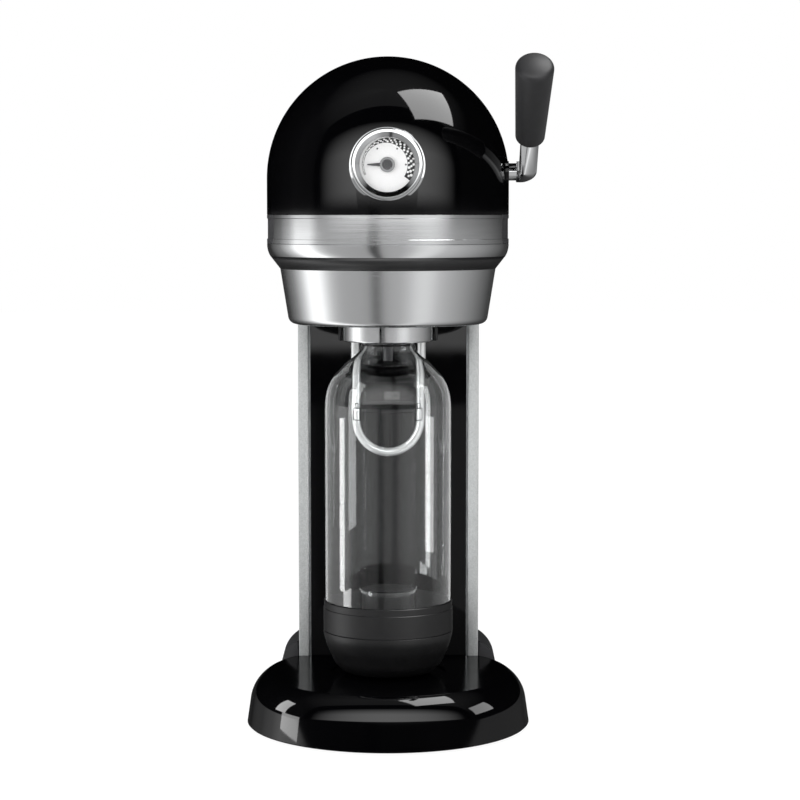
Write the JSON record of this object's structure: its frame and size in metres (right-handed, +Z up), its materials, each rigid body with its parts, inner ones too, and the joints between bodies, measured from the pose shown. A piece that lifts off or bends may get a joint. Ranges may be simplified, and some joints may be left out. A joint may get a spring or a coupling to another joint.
{
  "type": "sparkling water maker",
  "caption": "Manual sparkling water maker: round base, rear column, domed head with gauge, side lever and swing-out holder gripping a clear bottle.",
  "frame": {"origin": "on the table under the bottle's axis, at the middle rubber foot's lower face", "axes": "+Z up, -Y towards the user, +X to the lever's side"},
  "size_m": [0.1936, 0.2321, 0.4339],
  "materials": {
    "gloss_black_enamel": "gloss black enamel",
    "gloss_black_plastic": "gloss black",
    "black_plastic": "satin black",
    "dark_grey_plastic": "satin dark grey",
    "brushed_steel": "brushed",
    "satin_aluminium": "blasted satin",
    "chrome": "polished",
    "zinc_steel": "zinc plated",
    "cylinder_enamel": "satin enamel",
    "brass": "machined",
    "soft_grip": "matt soft touch",
    "rubber": "matt",
    "clear_plastic": "clear",
    "charcoal_plastic": "satin charcoal",
    "dial_white": "matt print",
    "window_glass": "clear",
    "white_plastic": "matt"
  },
  "bodies": {
    "machine": {"base_shell": "gloss_black_enamel", "deck_plate": "gloss_black_plastic", "base_underside": "black_plastic", "rubber_feet": "rubber", "base_screws": "zinc_steel", "rear_foot": "dark_grey_plastic", "column_front_panel": "gloss_black_plastic", "side_rail_left": "satin_aluminium", "side_rail_right": "satin_aluminium", "column_chassis": "zinc_steel", "cylinder_seat": "brass", "seat_bridge": "zinc_steel", "pressure_pipe": "brass", "head_tray": "black_plastic", "bulge_ring": "brushed_steel", "steel_cone": "brushed_steel", "head_floor": "black_plastic", "trim_band_front": "brushed_steel", "trim_band_rear": "dark_grey_plastic", "dome_shell": "gloss_black_enamel", "mechanism_frame": "zinc_steel", "shaft_bush_left": "white_plastic", "shaft_bush_right": "white_plastic", "shaft_collar": "black_plastic", "return_spring": "zinc_steel", "push_spring": "zinc_steel", "gas_valve": "brass", "relief_valve": "brass", "gas_tube": "white_plastic", "holder_bracket": "zinc_steel", "hinge_pins": "chrome", "gauge_bezel": "chrome", "gauge_housing": "black_plastic", "gauge_dial": "dial_white", "gauge_glass": "window_glass"},
    "lever": {"lever_shaft": "chrome", "press_cam": "zinc_steel", "lever_arm": "chrome", "lever_grip": "soft_grip"},
    "push_pin": {"push_pin": "chrome"},
    "needle": {"gauge_needle": "dark_grey_plastic"},
    "holder": {"holder_body": "black_plastic", "jaw_pins": "chrome", "bottle_seal": "rubber", "nozzle": "black_plastic", "rest_bow": "chrome", "bottle_body": "clear_plastic", "cup_bowl": "charcoal_plastic", "cup_sleeve": "charcoal_plastic"},
    "jaw_left": {"collar_jaw_left": "brushed_steel"},
    "jaw_right": {"collar_jaw_right": "brushed_steel"},
    "rear_cover": {"rear_cover": "dark_grey_plastic"},
    "cover_button": {"cover_button": "black_plastic"},
    "gas_cylinder": {"gas_cylinder": "cylinder_enamel", "cylinder_valve": "brass"}
  },
  "joints": [
    {"name": "lever_pull", "type": "hinge", "parent": "machine", "child": "lever", "pos_m": [0, -0.014, 0.36], "axis": [1, 0, 0], "range_deg": [0, 60], "stiffness_Nm_per_rad": 0.25, "springref_deg": -51.57},
    {"name": "pin_push", "type": "slide", "parent": "machine", "child": "push_pin", "axis": [0, 0, -1], "range_m": [0, 0.003], "deforming": ["push_spring"]},
    {"name": "needle_turn", "type": "hinge", "parent": "machine", "child": "needle", "pos_m": [0, -0.07765, 0.3633], "axis": [0, 1, 0], "range_deg": [0, 210]},
    {"name": "holder_tilt", "type": "hinge", "parent": "machine", "child": "holder", "pos_m": [0, 0.032, 0.272], "axis": [-1, 0, 0], "range_deg": [0, 15]},
    {"name": "jaw_left_open", "type": "hinge", "parent": "holder", "child": "jaw_left", "pos_m": [-0.0085, 0.0245, 0.257], "axis": [0, 0, -1], "range_deg": [0, 2]},
    {"name": "jaw_right_open", "type": "hinge", "parent": "holder", "child": "jaw_right", "pos_m": [-0.0007, 0.0245, 0.257], "axis": [0, 0, 1], "range_deg": [0, 2]},
    {"name": "rear_cover_pull", "type": "slide", "parent": "machine", "child": "rear_cover", "axis": [0, 1, 0], "range_m": [0, 0.08]},
    {"name": "cover_button_press", "type": "slide", "parent": "rear_cover", "child": "cover_button", "axis": [0, -1, 0], "range_m": [0, 0.0025], "stiffness_N_per_m": 400, "springref_m": -0.004},
    {"name": "cylinder_unscrew", "type": "hinge", "parent": "machine", "child": "gas_cylinder", "pos_m": [0, 0.086, 0.36], "axis": [0, 0, -1], "range_deg": [0, 720]}
  ],
  "couplings": [
    {"joint": "pin_push", "follows": "lever_pull", "m_per_rad": 0.0028648},
    {"joint": "needle_turn", "follows": "lever_pull", "ratio": 3.5},
    {"joint": "jaw_left_open", "follows": "holder_tilt", "ratio": 0.13333},
    {"joint": "jaw_right_open", "follows": "holder_tilt", "ratio": 0.13333}
  ]
}
